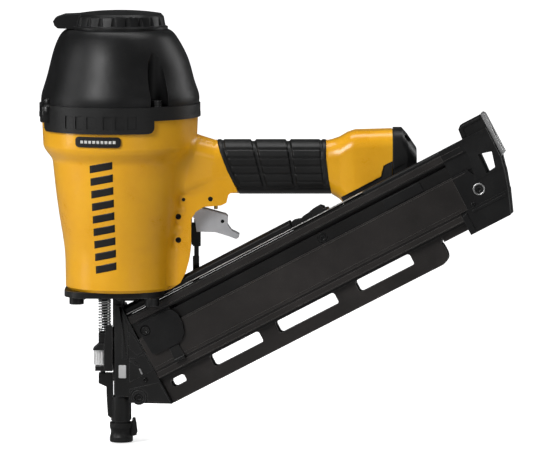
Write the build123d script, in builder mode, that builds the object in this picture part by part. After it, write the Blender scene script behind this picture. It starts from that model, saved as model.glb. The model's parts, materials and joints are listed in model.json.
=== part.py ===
from build123d import *
import math
import os

# Pneumatic framing nailer: cast housing with a closed-top cylinder, hand grip, trigger valve,
# nosepiece with a sprung work contact, and an inclined nail magazine.
#
# Frame: origin on the driver axis at the tip of the nose, +Z up along the driver axis,
# +X towards the handle's rear end, -Y is the near side, where the magazine swings out.
# Units are millimetres.

os.makedirs("parts", exist_ok=True)

# ---------------------------------------------------------------- driving dimensions
CANT = 9.0            # the magazine's plane is turned this far about the driver axis, towards -Y
RAKE = 28.0           # angle of the magazine above the horizontal = nail collation angle
MAG_Z = 101.0         # height on the driver axis of the top of the nail rail
GAP = 0.05            # clearance between touching static parts

BODY_BASE = 128.0     # underside of the housing
BODY_TOP = 270.0      # housing joint face under the cap
CAP_BASE = 271.0
CAP_SCREW_SEAT = 281.0
CAP_R = 63.4
COLLAR_R = 66.0
WEB_HALF = 18.3       # half thickness of the web that carries the trigger
PIN_HALF = 18.2       # half length of the pins through that web

GRIP_W, GRIP_H, GRIP_Z = 37.0, 43.5, 228.2   # handle section and its centre height
CORE_W, CORE_H = 32.4, 38.9                  # handle section under the rubber grip
END_X = 223.0         # joint face of the handle's end cap
END_Z = 225.2         # centre height of that face
END_SEAT_X = 229.0    # seat of the end cap's screw heads
CHAMBER = (24, 38, 9)                        # rear air chamber: width, height, corner radius
CHAMBER_AT = (0, 229.5)
PORT_R = 7.4          # air inlet, tapped for a 3/8 inch taper thread
PORT_AT = [(4.0, 222.0)]

SLEEVE_RI, SLEEVE_RO = 29.0, 32.0            # cylinder sleeve
SEAL_ZS = (205.0, 211.0)                     # undersides of the sleeve's seal grooves
BUMPER_BASE = 134.0   # lower end of the sleeve and the bumper
SLEEVE_TOP = 262.0
PISTON_Z = 252.0      # underside of the piston at rest
CHANNEL_R = 4.4       # drive channel
BLADE_R = 3.4
HEAD_SLOT, SHANK_SLOT = 8.7, 4.8             # widths of the nail track

TRIP_X = -13.3        # axis of the contact spring
WHEEL_X, WHEEL_R = -15.1, 7.5                # depth thumbwheel
VALVE_AT = [(78.5, 0)]

# Fastener places: (x, y) seen from above
NOSE_BOLTS = [(-35.6, 15.8), (-35.6, -15.8), (26.6, 28.3), (26.6, -28.3)]
# (y, z) on the handle's rear end
END_SCREWS = [(18.0, 250), (-15.5, 252), (18.0, 199), (-3, 196.5)]
# (x, z) through the web
TRIGGER_PIVOT = [(52.3, 202.5)]
LEVER_PIVOT = [(84, 183.5)]
VALVE_PIN = [(74.3, 203.0)]
GUIDE_PINS = [(48, 188.5), (48, 169.3)]
# (outwards, z) on the nose's cheeks
NOSE_SCREWS = [(8.2, 85.3), (17.4, 38.6)]
INSERT_AT = [(3.6, 59.8)]
# (along, across) in the magazine's plane
MAG_SCREW = [(183.3, -15.9)]
REAR_SCREW, REAR_STUD = (316, -38.9), (306, -47.6)
BRACKET_TO_MAG = [(222, -35), (242, -35)]
BRACKET_TO_BODY = [(226, -9), (238, -12)]
LATCH_PIVOT = [(189.3, 5.6)]
PUSHER_SCREW = [(17.8, -16.6)]
COIL_AT = [(44, -30)]

ORIGIN = [(0, 0)]
CUT = Mode.SUBTRACT


def polar(radius, angle):
    """Point at a radius and an angle in degrees."""
    return radius * math.cos(math.radians(angle)), radius * math.sin(math.radians(angle))


CAP_BOLTS = [polar(59.5, angle) for angle in (58, -58, 180)]

# ---------------------------------------------------------------- planes
COS_CANT, SIN_CANT = polar(1, CANT)
COS_RAKE, SIN_RAKE = polar(1, RAKE)
ALONG = Vector(COS_CANT * COS_RAKE, -SIN_CANT * COS_RAKE, SIN_RAKE)   # rearwards and up
OUT = Vector(-SIN_CANT, -COS_CANT, 0)        # out of the magazine's near side


def side(offset):
    """Magazine plane, offset to its near side: x along the magazine, y up across it."""
    return Plane(origin=Vector(0, 0, MAG_Z) + OUT * offset, x_dir=ALONG, z_dir=OUT)


def across(distance):
    """Plane square to the magazine: x towards the far side, y up across it."""
    return Plane(origin=Vector(0, 0, MAG_Z) + ALONG * distance, x_dir=-OUT, z_dir=ALONG)


def upright(offset):
    """Upright plane in the magazine's direction: x outwards, y is height."""
    return Plane(origin=OUT * offset, x_dir=(COS_CANT, -SIN_CANT, 0), z_dir=OUT)


def near(offset):
    """Upright plane, offset to the near side of the housing's middle: x is X, y is Z."""
    return Plane.XZ.offset(offset)


def height(z):
    """Level plane at height z."""
    return Plane.XY.offset(z)


def station(x):
    """Plane square to the handle at x: x is Y, y is Z."""
    return Plane.YZ.offset(x)


def radial(angle, radius, z=0):
    """Plane facing outwards from the driver axis: x is tangential, y is height."""
    cosine, sine = polar(1, angle)
    plane = Plane((0, 0, z), x_dir=(-sine, cosine, 0), z_dir=(cosine, sine, 0))
    return plane.offset(radius)


# ---------------------------------------------------------------- shape helpers
# Each works on the caller's BuildPart. Its own sketch is private and is passed on explicitly,
# because a sketch made inside a function does not join the caller's block.
def pad(plane, depth, shape, *sizes, at=ORIGIN, mode=Mode.ADD):
    """Sketch shape of the given sizes at each point, extruded off the plane."""
    with BuildSketch(plane, mode=Mode.PRIVATE) as profile:
        with Locations(*at):
            shape(*sizes)
    extrude(profile.sketch, amount=depth, dir=plane.z_dir, mode=mode)


def ring(plane, depth, outer, inner, at=ORIGIN):
    """Flat ring, extruded off the plane."""
    with BuildSketch(plane, mode=Mode.PRIVATE) as profile:
        with Locations(*at):
            Circle(outer)
            Circle(inner, mode=CUT)
    extrude(profile.sketch, amount=depth, dir=plane.z_dir)


def plate(plane, depth, points, mode=Mode.ADD):
    """Closed polygon, extruded off the plane."""
    with BuildSketch(plane, mode=Mode.PRIVATE) as profile:
        with BuildLine():
            Polyline(*points, points[0])
        make_face()
    extrude(profile.sketch, amount=depth, dir=plane.z_dir, mode=mode)


def slab(place, half, points, mode=Mode.ADD):
    """Closed polygon, extruded by half to each side of a plane family's middle."""
    plate(place(-half), 2 * half, points, mode)


def cross_hole(place, half, radius, at):
    """Round holes, reaching half to each side of a plane family's middle."""
    pad(place(-half), 2 * half, Circle, radius, at=at, mode=CUT)


def turn(points, mode=Mode.ADD):
    """Closed (radius, z) polygon, revolved about the driver axis."""
    with BuildSketch(Plane.XZ, mode=Mode.PRIVATE) as profile:
        with BuildLine():
            Polyline(*points, points[0])
        make_face()
    revolve(profile.sketch, axis=Axis.Z, mode=mode)


def loft_handle(stations):
    """Ruled loft through (x, width, height, corner radius, centre height) stations."""
    sections = []
    for x, section_w, section_h, corner, centre_z in stations:
        with BuildSketch(station(x), mode=Mode.PRIVATE) as section:
            with Locations((0, centre_z)):
                RectangleRounded(section_w, section_h, corner)
        sections.append(section.sketch.face())
    loft(sections, ruled=True)


def rect(x0, x1, y0, y1):
    """Corners of a rectangle."""
    return [(x0, y0), (x1, y0), (x1, y1), (x0, y1)]


def screws(place, at, head, socket, *shanks):
    """Screws; head, hexagon socket (or None) and shanks are (start, radius, length)."""
    start, radius, length = head
    pad(place(start), length, Circle, radius, at=at)
    if socket:
        start, radius, length = socket
        pad(place(start), length, RegularPolygon, radius, 6, at=at, mode=CUT)
    for start, radius, length in shanks:
        pad(place(start), length, Circle, radius, at=at)


def spring(x, z, radius, wire_r, pitch, length):
    """Upright coil spring whose axis is at x and whose first coil starts at z."""
    with BuildPart() as part:
        with BuildLine():
            Helix(pitch=pitch, height=length, radius=radius, center=(x, 0, z))
        with BuildSketch(Plane(origin=(x + radius, 0, z), z_dir=(0, 1, 0))):
            Circle(wire_r)
        sweep(is_frenet=True)
    return part


def cut_magazine_room(cover_front, track_front, rear):
    """Room for the magazine's top cover and its track."""
    slab(side, 8.2, rect(cover_front, rear, 2.0, 9.6), mode=CUT)
    slab(side, 13.8, rect(track_front, rear, -20, 3.2), mode=CUT)


def cut_nail_track(start, length):
    """Nail track along the magazine: heads above, shanks below."""
    with BuildSketch(across(start), mode=Mode.PRIVATE) as track:
        with Locations((0, -3.2)):
            Rectangle(HEAD_SLOT, 7.4)
        with Locations((0, -42)):
            Rectangle(SHANK_SLOT, 74)
    extrude(track.sketch, amount=length, dir=ALONG, mode=CUT)


def cut_near_flat():
    """Flat on the near side of the handle's end, level with the housing's."""
    pad(side(-14.5), 60, Rectangle, 120, 66, at=[(240, -26)], mode=CUT)


# ================================================================ housing and grip
# Slanted ends of the rubber grip, (x, z): front downwards, rear upwards
GRIP_FRONT = [(79, 262), (79, 252), (82.2, 241), (88, 226), (97, 208.2), (99, 196)]
GRIP_REAR = [(174.5, 196), (173.5, 207), (171, 219), (169, 236), (169, 262)]


def grip_tube(outer_extra, core_extra, front_shift, rear_shift):
    """Tube round the handle between the grip's two slanted ends."""
    outline = [(x + front_shift, z) for x, z in GRIP_FRONT]
    outline += [(x + rear_shift, z) for x, z in GRIP_REAR]
    with BuildPart() as tube:
        with BuildSketch(station(70)):
            with Locations((0, GRIP_Z)):
                RectangleRounded(GRIP_W + outer_extra, GRIP_H + outer_extra, 15)
                RectangleRounded(CORE_W + core_extra, CORE_H + core_extra, 12.7, mode=CUT)
        extrude(amount=112)
        slab(near, 40, outline, mode=Mode.INTERSECT)
    return tube.part


# Handle stations: x, width, height, corner radius, centre height
HANDLE_ROOT = [(36, 50, 62, 16, 229), (60, 43, 53, 16, 229), (78, GRIP_W, GRIP_H, 15, GRIP_Z)]
HANDLE_REAR = [
    (169, GRIP_W - 1, GRIP_H - 1, 14.5, GRIP_Z), (174, 37.4, 45, 15, 228.0),
    (180, 39.2, 50.6, 15, 227.2), (187, 43, 61.5, 14.5, 225.6),
    (193, 45, 66, 14, END_Z), (END_X, 46, 67.6, 14, END_Z),
]
# Web behind the barrel, (x, z)
WEB = [
    (29, 128.2), (41.5, 128.9), (49.5, 133.9), (54.0, 142.5), (56.8, 152.5), (58.4, 165.5),
    (58.5, 186.0), (62.3, 192.4), (68.9, 196.5), (83, 197.6), (87.4, 199.8), (89, 206.2),
    (91, 208.0), (96, 208.4), (96, 222), (29, 222),
]
# Barrel cavity, (radius, z)
CAVITY = [
    (0, 120), (33, 120), (33, 134), (34.4, 134), (34.4, 158), (40, 163), (40, 222),
    (47.5, 222), (47.5, 240), (54, 247), (54, BODY_TOP + 1), (0, BODY_TOP + 1),
]
# Slot for the trigger and the end of the contact arm, (x, z)
TRIGGER_SLOT = [(47.5, 206.5), (47.5, 198), (54, 193), (54, 176), (95, 176), (95, 194), (86, 206.5)]
# Flat where the magazine passes, (along, across)
CHAMBER_FLAT = [(170, -60), (300, -60), (300, 13.0), (252, 13.0), (246, 6.2), (170, 6.2)]


def main_housing():
    grip_room = grip_tube(8.0, 0.0, 0.0, 0.0)
    shoulder, waist, rim = (45.2, BODY_BASE + 2.4), (55.2, 232), (63.0, 247)
    with BuildPart() as part:
        # cylinder barrel, tapering to the nose, with a wide flange under the cap
        with BuildSketch(Plane.XZ):
            with BuildLine():
                Polyline((0, BODY_BASE), (42.8, BODY_BASE), shoulder)
                Spline(
                    shoulder, (45.9, 160), (49.4, 184), (52.6, 207), waist,
                    tangents=((0.02, 1), (0.1, 1)),
                )
                Spline(waist, (58.6, 239), rim, tangents=((0.1, 1), (0.2, 1)))
                Polyline(rim, (64.0, BODY_TOP), (0, BODY_TOP), (0, BODY_BASE))
            make_face()
        revolve(axis=Axis.Z)
        # handle: root, grip length, and the wider air chamber at the rear
        loft_handle(HANDLE_ROOT)
        pad(station(77.9), 92.2, RectangleRounded, GRIP_W, GRIP_H, 15, at=[(0, GRIP_Z)])
        loft_handle(HANDLE_REAR)
        slab(near, WEB_HALF, WEB)
        turn(CAVITY, mode=CUT)
        # compressed air reservoir in the handle
        pad(station(38), 150, RectangleRounded, 24, 29, 10, at=[(0, GRIP_Z + 1)], mode=CUT)
        pad(station(187), 40, RectangleRounded, *CHAMBER, at=[CHAMBER_AT], mode=CUT)
        add(grip_room, mode=CUT)
        slab(near, 7.6, TRIGGER_SLOT, mode=CUT)
        # trigger valve bore
        pad(height(190), 30, Circle, 8.0, at=VALVE_AT, mode=CUT)
        cross_hole(near, 20, 1.5, TRIGGER_PIVOT)
        cross_hole(near, 20, 2.4, GUIDE_PINS)
        cross_hole(near, 20, 2.0, VALVE_PIN)
        cut_magazine_room(20, 20, 120)
        pad(height(BODY_TOP), -20, Circle, 2.6, at=CAP_BOLTS, mode=CUT)
        pad(height(BODY_BASE), 22, Circle, 2.6, at=NOSE_BOLTS, mode=CUT)
        # near-side flat of the air chamber, and its tapped holes
        plate(side(-14.6), 60, CHAMBER_FLAT, mode=CUT)
        pad(side(-14.6), -8, Circle, 1.6, at=BRACKET_TO_BODY, mode=CUT)
        pad(station(END_X), -12, Circle, 1.6, at=END_SCREWS, mode=CUT)
    return part


def grip_sleeve():
    with BuildPart() as part:
        add(grip_tube(0.0, 2 * GAP, GAP, -GAP))
    return part


# ================================================================ handle's rear end
def end_cap_gasket():
    with BuildPart() as part:
        with BuildSketch(station(END_X + GAP)):
            with Locations((0, END_Z)):
                RectangleRounded(45, 66.6, 13.5)
            with Locations(CHAMBER_AT):
                RectangleRounded(*CHAMBER, mode=CUT)
            with Locations(*END_SCREWS):
                Circle(2.0, mode=CUT)
        extrude(amount=0.9)
        cut_near_flat()
    return part


def handle_end_cap():
    with BuildPart() as part:
        loft_handle([
            (END_X + 1, 46.6, 69.6, 14, END_Z), (231, 46.6, 69.6, 14, END_Z),
            (235.5, 44, 62, 13, 224), (243, 36, 44, 12, 222),
        ])
        cut_near_flat()
        # threaded air inlet, with a wider seat inside for the screen
        pad(station(END_X), 30, Circle, 9.55, at=PORT_AT, mode=CUT)
        pad(station(END_X + 1), 3, Circle, 10.6, at=PORT_AT, mode=CUT)
        # screw holes and head seats
        pad(station(END_X), 30, Circle, 1.8, at=END_SCREWS, mode=CUT)
        pad(station(END_SEAT_X), 20, Circle, 3.6, at=END_SCREWS, mode=CUT)
    return part


def end_cap_screws():
    with BuildPart() as part:
        screws(station, END_SCREWS, (END_SEAT_X + GAP, 3.4, 2.6), None, (214, 1.5, 15.1))
    return part


def inlet_bushing():
    with BuildPart() as part:
        # hexagon outside, flange in the cap's seat, and the barrel joining them
        with BuildSketch(station(227.2)):
            with Locations(*PORT_AT):
                RegularPolygon(9.5, 6)
                Circle(PORT_R, mode=CUT)
        extrude(amount=17.3)
        ring(station(END_X + 1 + GAP), 2.9, 10.5, 8.6, at=PORT_AT)
        ring(station(226.0), 14, 9.45, PORT_R, at=PORT_AT)
    return part


def inlet_filter():
    with BuildPart() as part:
        pad(station(224.1), 0.8, Circle, 8.5, at=PORT_AT)
        with BuildSketch(station(224)):
            with Locations(*PORT_AT):
                with GridLocations(2.6, 2.6, 5, 5):
                    Circle(0.8)
        extrude(amount=2, mode=CUT)
    return part


# ================================================================ cap, collar, deflector
def cap_gasket():
    with BuildPart() as part:
        with BuildSketch(height(BODY_TOP + GAP)):
            Circle(CAP_R)
            Circle(54.5, mode=CUT)
            with Locations(*CAP_BOLTS):
                Circle(2.6, mode=CUT)
        extrude(amount=0.9)
    return part


# Dome of the cap: height, radius, centre x
DOME = [
    (281.0, 64.8, 0), (300, 60.9, 0.1), (315, 56.8, 0.1), (325, 53.2, -0.6),
    (332, 49.9, -1.2), (337, 46.8, -1.5), (341.2, 41.0, -2.0),
]


def top_cap():
    with BuildPart() as part:
        pad(height(CAP_BASE), 10.2, Circle, CAP_R)
        for z, radius, centre_x in DOME:
            with BuildSketch(height(z)):
                with Locations((centre_x, 0)):
                    Circle(radius)
        loft()
        # bolt flutes down the dome
        for bolt in CAP_BOLTS:
            with BuildSketch(height(CAP_SCREW_SEAT)):
                with Locations(bolt):
                    Circle(10)
            extrude(amount=52, taper=5, mode=CUT)
        pad(height(CAP_BASE), 12, Circle, 2.7, at=CAP_BOLTS, mode=CUT)
        # head valve chamber round its guide tube, and the exhaust passage through the tube
        with BuildSketch(height(CAP_BASE)):
            Circle(38)
            Circle(23.9, mode=CUT)
        extrude(amount=21, mode=CUT)
        pad(height(CAP_BASE), 40, Circle, 18, mode=CUT)
        # exhaust chamber above, and its outlets
        with BuildSketch(height(298)):
            Circle(40)
        extrude(amount=26, taper=6, mode=CUT)
        with BuildSketch(height(310)):
            with PolarLocations(19, 8):
                Circle(5)
        extrude(amount=40, mode=CUT)
        # centre post for the deflector's screw
        pad(height(318), 23, Circle, 7)
        pad(height(322), 30, Circle, 2.1, mode=CUT)
    return part


SKIRT_SPANS = [(-63, 63), (157, 203)]        # angles without a skirt
SKIRT_CORNERS = [(63, 1), (157, -1), (203, 1), (297, -1)]    # angle, side the skirt is on
CELL_ANGLES = (79.5, 88.0, 96.5, 108.5, 117.5, 126.5)


def top_collar():
    with BuildPart() as part:
        ring(height(BODY_TOP + GAP), 10.85, COLLAR_R, 63.45)
        # skirts between the bolts, over the housing's rim
        ring(height(259.6), 14, 66.2, 64.1)
        for start, end in SKIRT_SPANS:
            wedge = [(0, 0), polar(90, start), polar(140, (start + end) / 2), polar(90, end)]
            plate(height(259.0), 11.0, wedge, mode=CUT)
        # rounded lower corners of the skirts
        for angle, direction in SKIRT_CORNERS:
            with BuildSketch(radial(angle, COLLAR_R)):
                with Locations((1.9 * direction, 261.7)):
                    Rectangle(6.2, 5.8)
                with Locations((5 * direction, 264.7)):
                    Circle(4.9, mode=CUT)
            extrude(amount=4, both=True, mode=CUT)
        # recessed cells, two groups of three on each side
        for direction in (1, -1):
            for angle in CELL_ANGLES:
                cell = radial(direction * angle, 65.2, z=268.4)
                pad(cell, 3, RectangleRounded, 7.6, 10.4, 1.2, mode=CUT)
    return part


def cap_screws():
    with BuildPart() as part:
        screws(
            height, CAP_BOLTS, (CAP_SCREW_SEAT + GAP, 4.4, 5), (283.2, 2.3, 5), (252, 2.5, 29.1)
        )
    return part


# Spout on the deflector's front, (x, z), and the hollow through it
SPOUT = [
    (-30, 342.0), (-45, 342.0), (-50.0, 342.2), (-52.6, 344.4), (-53.8, 348), (-52, 350.8),
    (-45, 353.2), (-30, 353.8),
]
SPOUT_MOUTH = [
    (-30, 340), (-48.5, 340), (-49.5, 343.5), (-56, 344.8), (-56, 348.2), (-44, 350.4),
    (-30, 350.9),
]


def exhaust_deflector():
    with BuildPart() as part:
        with BuildSketch(Plane.XZ):
            with BuildLine():
                Polyline(
                    (6.4, 352.6), (2.6, 352.6), (2.6, 341.4), (39.5, 341.4), (39.5, 343.4),
                    (37.6, 344.2), (36.2, 351.6), (34.0, 354.0),
                )
                ThreePointArc((34.0, 354.0), (20, 355.7), (6.4, 356.3))
                Line((6.4, 356.3), (6.4, 352.6))
            make_face()
        revolve(axis=Axis.Z)
        slab(near, 15, SPOUT)
        # chamber inside, and the mouth of the spout
        with BuildSketch(height(340)):
            Circle(33.6)
            Circle(8, mode=CUT)
        extrude(amount=11.6, mode=CUT)
        slab(near, 12, SPOUT_MOUTH, mode=CUT)
        # finger notches round the rim, clear of the spout
        with BuildSketch(height(344.6)):
            with PolarLocations(38.5, 17, start_angle=213 - 360, angular_range=294):
                Circle(2.62)
        extrude(amount=12, mode=CUT)
    return part


def deflector_screw():
    with BuildPart() as part:
        screws(
            height, ORIGIN, (352.7, 5.8, 3), (354.0, 2.3, 4), (341.25, 2.5, 11.6), (324, 2.05, 18)
        )
    return part


# ================================================================ drive
def cylinder_sleeve():
    rim_r, groove_r, groove_h = 39.9, 37.6, 2.4
    grooves = []
    for z in SEAL_ZS:
        grooves += [(rim_r, z), (groove_r, z), (groove_r, z + groove_h), (rim_r, z + groove_h)]
    with BuildPart() as part:
        turn([
            (SLEEVE_RI, BUMPER_BASE + GAP), (SLEEVE_RO, BUMPER_BASE + GAP), (SLEEVE_RO, 203),
            (rim_r, 203), *grooves, (rim_r, 215.4), (SLEEVE_RO, 215.4), (SLEEVE_RO, SLEEVE_TOP),
            (SLEEVE_RI, SLEEVE_TOP),
        ])
        # return air ports above the bumper
        for angle in range(0, 360, 45):
            port = Plane((0, 0, 172), x_dir=(0, 0, 1), z_dir=(*polar(1, angle), 0))
            pad(port, 36, Circle, 1.6, mode=CUT)
    return part


def cylinder_seals():
    with BuildPart() as part:
        for z in SEAL_ZS:
            ring(height(z + GAP), 2.3, 39.95, 37.65)
    return part


def piston_bumper():
    base = BUMPER_BASE + GAP
    with BuildPart() as part:
        turn([(6, base), (28.8, base), (28.8, 150), (24, 158.9), (9, 158.9), (6, 155)])
    return part


def head_valve():
    base = SLEEVE_TOP + GAP
    with BuildPart() as part:
        turn([(24.0, base), (37.4, base), (37.4, 268), (30.0, 268), (30.0, 284), (24.0, 284)])
    return part


def head_valve_spring():
    return spring(x=0, z=269.2, radius=34.4, wire_r=1.1, pitch=5.4, length=21.4)


def piston():
    with BuildPart() as part:
        turn([
            (0, PISTON_Z), (28.9, PISTON_Z), (28.9, 253.6), (26.6, 253.6), (26.6, 256.2),
            (28.9, 256.2), (28.9, 259.5), (14, 259.5), (10, 257.5), (0, 257.5),
        ])
        pad(height(PISTON_Z - 1), 12, Circle, 2.05, mode=CUT)
    return part


def piston_ring():
    with BuildPart() as part:
        ring(height(253.65), 2.5, 28.95, 26.65)
    return part


def driver_blade():
    blade_tip = 102
    with BuildPart() as part:
        pad(height(blade_tip), PISTON_Z - blade_tip - GAP, Circle, BLADE_R)
        # spigot through the piston, and the head on top of it
        pad(height(PISTON_Z - 1), 9.4, Circle, 2.0)
        pad(height(257.5 + GAP), 2, Circle, 5)
    return part


# ================================================================ nose
# Outlines in the upright plane, (outwards, z)
WEDGE = [(-5.5, 123.5), (-5.5, 51), (35.6, 51), (8.3, 102.5), (2.6, 114), (2.6, 123.5)]
LOWER_WEDGE = [(13.5, 51.5), (13.5, 34), (44.9, 34), (35.4, 51.5)]
CHEEK_EDGE = [(-2.8, 39), (-2.8, 54), (34.0, 54), (44.9, 34), (8.8, 34), (8.8, 39)]
CHEEK_FOOT = [(14, 54), (34.0, 54), (44.9, 34), (14, 34)]


def nose_body():
    flange_base = 123
    with BuildPart() as part:
        # flange under the barrel, two bosses below it, and a spigot into the barrel
        flange_h = BODY_BASE - flange_base - GAP
        pad(height(flange_base), flange_h, RectangleRounded, 82.6, 72, 22, at=[(-4.35, 0)])
        with BuildSketch(height(118.7)):
            with Locations((TRIP_X, 0)):
                Circle(6)
            with Locations((6, 0)):
                RectangleRounded(18, 30, 5)
        extrude(amount=5)
        pad(height(127), 6.95, Circle, 32.9)
        # wedge between the drive channel and the magazine
        slab(upright, 6.4, WEDGE)
        slab(upright, 6.4, LOWER_WEDGE)
        # far-side cheek
        plate(upright(-12.3), 6.2, [(-2.8, 53), (-2.8, 114.5), (2.3, 114.5), (34.6, 53)])
        plate(upright(-12.3), 3.2, CHEEK_EDGE)
        plate(upright(-12.3), 6.2, CHEEK_FOOT)
        # round barrel below the cheek
        pad(height(12.9), 40, Circle, 6)
        # drive channel, and the way in for the nails: shanks and heads
        pad(height(5), 140, Circle, CHANNEL_R, mode=CUT)
        slab(upright, SHANK_SLOT / 2, [(0, 5), (0, 102.5), (60, 134.4), (60, 5)], mode=CUT)
        slab(upright, HEAD_SLOT / 2, [(0, 95), (0, 102.5), (60, 134.4), (60, 127)], mode=CUT)
        # bolt and guide rod holes
        with BuildSketch(height(110)):
            with Locations(*NOSE_BOLTS):
                Circle(2.65)
            with Locations((TRIP_X, 0)):
                Circle(2.55)
        extrude(amount=30, mode=CUT)
        cut_magazine_room(8.2, 30, 62)
        # tapped holes for the cover's screws, clear of the nails
        pad(upright(6.5), -3.4, Circle, 1.7, at=NOSE_SCREWS, mode=CUT)
    return part


def nose_cover():
    with BuildPart() as part:
        plate(upright(6.5), 5.8, [(-2.8, 53), (-2.8, 114.3), (2.2, 114.3), (34.6, 53)])
        plate(upright(9.1), 3.2, CHEEK_EDGE)
        plate(upright(6.5), 5.8, CHEEK_FOOT)
        # boss for the lower screw, then screw holes and head seats
        pad(upright(12), 1.6, Circle, 6.0, at=NOSE_SCREWS[1:])
        pad(upright(6), 10, Circle, 1.8, at=NOSE_SCREWS, mode=CUT)
        pad(upright(9.4), 10, Circle, 3.9, at=NOSE_SCREWS, mode=CUT)
        # seat of the wear insert
        pad(upright(11.2), 3, RectangleRounded, 6.4, 11, 1, at=INSERT_AT, mode=CUT)
    return part


def nose_insert():
    with BuildPart() as part:
        pad(upright(11.2 + GAP), 1.6, RectangleRounded, 6.2, 10.8, 0.9, at=INSERT_AT)
    return part


def nose_screws():
    with BuildPart() as part:
        screws(upright, NOSE_SCREWS, (9.4 + GAP, 3.7, 2.6), (10.8, 1.9, 3), (3.2, 1.6, 6.3))
    return part


def nose_bolts():
    with BuildPart() as part:
        screws(height, NOSE_BOLTS, (116.3, 6, 6.65), (116, 2.9, 4), (122, 2.5, 25))
    return part


def spring_guide_rod():
    with BuildPart() as part:
        pad(height(88.3), 39, Circle, 2.5, at=[(TRIP_X, 0)])
    return part


def contact_spring():
    return spring(x=TRIP_X, z=91.75, radius=4.75, wire_r=0.62, pitch=2.27, length=26.1)


# ================================================================ contact trip
ARM_REAR_X = -6.6     # rear face of the cage round the thumbwheel
ARM_FRONT_X = -13.6   # front face of the cage's side plates
# Far-side arm, (x, z)
ARM = [
    (ARM_FRONT_X, 84), (ARM_FRONT_X, 91), (12, 97), (50, 112), (59.0, 128), (59.0, 152),
    (64.4, 152), (64.4, 126), (53, 104), (14, 89), (-4, 84),
]


def trip_arm():
    arm_y = 20.6
    with BuildPart() as part:
        # seat under the spring, and the cage round the thumbwheel
        slab(near, 6.5, rect(-18.2, ARM_REAR_X, 82, 91))
        slab(near, 10.2, [(-23, 77.2), (-17.5, 82.3), (ARM_REAR_X, 82.3), (ARM_REAR_X, 77.2)])
        slab(near, 10.2, rect(-21, ARM_REAR_X, 60, 63.9))
        plate(near(9.6), 2.4, [
            (ARM_FRONT_X, 60), (ARM_FRONT_X, 79), (-12, 97.5), (ARM_REAR_X, 97.5), (ARM_REAR_X, 60),
        ])
        plate(near(-12), 2.4, rect(ARM_FRONT_X, ARM_REAR_X, 60, 91))
        plate(near(6.4), 4, rect(-12, ARM_REAR_X, 82, 97.5))
        # far-side arm, past the magazine and the housing, up to the trigger
        plate(near(-arm_y), 9, rect(ARM_FRONT_X, ARM_REAR_X, 84, 91))
        plate(near(-arm_y), 2.0, ARM)
        plate(near(-arm_y), 23.6, rect(60.6, 64.4, 147.5, 152))
        slab(near, 3, rect(60.6, 64.4, 147.5, 184.8))
        # clearance holes: guide rod above, adjusting stud below
        pad(height(76), 30, Circle, 2.58, at=[(TRIP_X, 0)], mode=CUT)
        pad(height(55), 12, Circle, 2.1, at=[(WHEEL_X, 0)], mode=CUT)
    return part


def depth_wheel():
    with BuildPart() as part:
        pad(height(64.3), 12.4, Circle, WHEEL_R, at=[(WHEEL_X, 0)])
        # flutes round the rim
        with BuildSketch(height(65.6)):
            with Locations((WHEEL_X, 0)):
                with PolarLocations(WHEEL_R + 0.4, 18):
                    Circle(0.9)
        extrude(amount=9.8, mode=CUT)
        pad(height(60), 20, Circle, 2.05, at=[(WHEEL_X, 0)], mode=CUT)
    return part


# Lug and arm of the contact foot, (x, z)
FOOT_ARM = [
    (-18.4, 49), (-18.4, 57), (-6.6, 57), (-6.6, 22), (-8.6, 20), (-11, 22), (-12, 40), (-12, 46),
]


def contact_foot():
    with BuildPart() as part:
        # adjusting stud, its lug, and the arm down to the tube
        pad(height(49), 25.3, Circle, 2.0, at=[(WHEEL_X, 0)])
        slab(near, 4.5, FOOT_ARM)
        pad(height(17.5), 20.2, Circle, 8.5)
        pad(height(1), 17, Circle, 7.5)
        pad(height(0), 60, Circle, 6.2, mode=CUT)
        # open side, towards the magazine
        slab(upright, 3.0, rect(0, 12, 16.5, 60), mode=CUT)
    return part


# Tab on the tip's rear side, (x, z)
TIP_TAB = [(8.2, 4.6), (12.6, 5.4), (13.4, 8), (12.4, 16), (11.6, 19.6), (9.4, 19.6), (8.6, 16)]


def no_mar_tip():
    with BuildPart() as part:
        with BuildSketch(Plane.XZ):
            with BuildLine():
                Line((6.4, 0), (9.2, 0))
                Line((9.2, 0), (9.6, 0.6))
                Line((9.6, 0.6), (9.6, 4.0))
                ThreePointArc((9.6, 4.0), (8.7, 8.0), (9.6, 12.0))
                Polyline(
                    (9.6, 12.0), (9.6, 16.0), (7.55, 16.0), (7.55, 0.95), (6.4, 0.95), (6.4, 0)
                )
            make_face()
        revolve(axis=Axis.Z)
        slab(near, 3.2, TIP_TAB)
        pad(height(1.0), 14.9, Circle, 7.55, mode=CUT)
    return part


def trip_guide():
    with BuildPart() as part:
        slab(near, 4.9, [(58.6, 164.5), (60.0, 162.6), (66, 162.6), (66, 181.5), (58.6, 181.5)])
        pad(height(150), 40, Rectangle, 4.0, 6.2, at=[(62.5, 0)], mode=CUT)
    return part


def guide_pins():
    with BuildPart() as part:
        pad(near(-PIN_HALF), 2 * PIN_HALF, Circle, 2.35, at=GUIDE_PINS)
        pad(near(16.6), 3, RegularPolygon, 1.3, 6, at=GUIDE_PINS, mode=CUT)
    return part


# ================================================================ trigger and its valve
TRIGGER_HALF = 7.1
# Trigger outline and the hollow for the trip lever, (x, z)
TRIGGER = [
    (50.0, 200.4), (49.3, 203.0), (50.4, 205.2), (52.6, 205.8), (55.2, 204.8), (62.0, 197.0),
    (68.4, 194.2), (86.8, 189.1), (88.6, 187.2), (88.2, 180.6), (91.4, 176.0), (98, 172.6),
    (97.6, 170.4), (95.2, 168.8), (88.6, 171.3), (78.3, 174.5), (62.7, 175), (61.3, 185.3),
    (56, 193.0),
]
TRIGGER_HOLLOW = [
    (45, 210), (90, 210), (90, 189), (87.2, 186.0), (87.2, 179.2), (67.6, 179.2), (67.6, 170),
    (45, 170),
]


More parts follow.
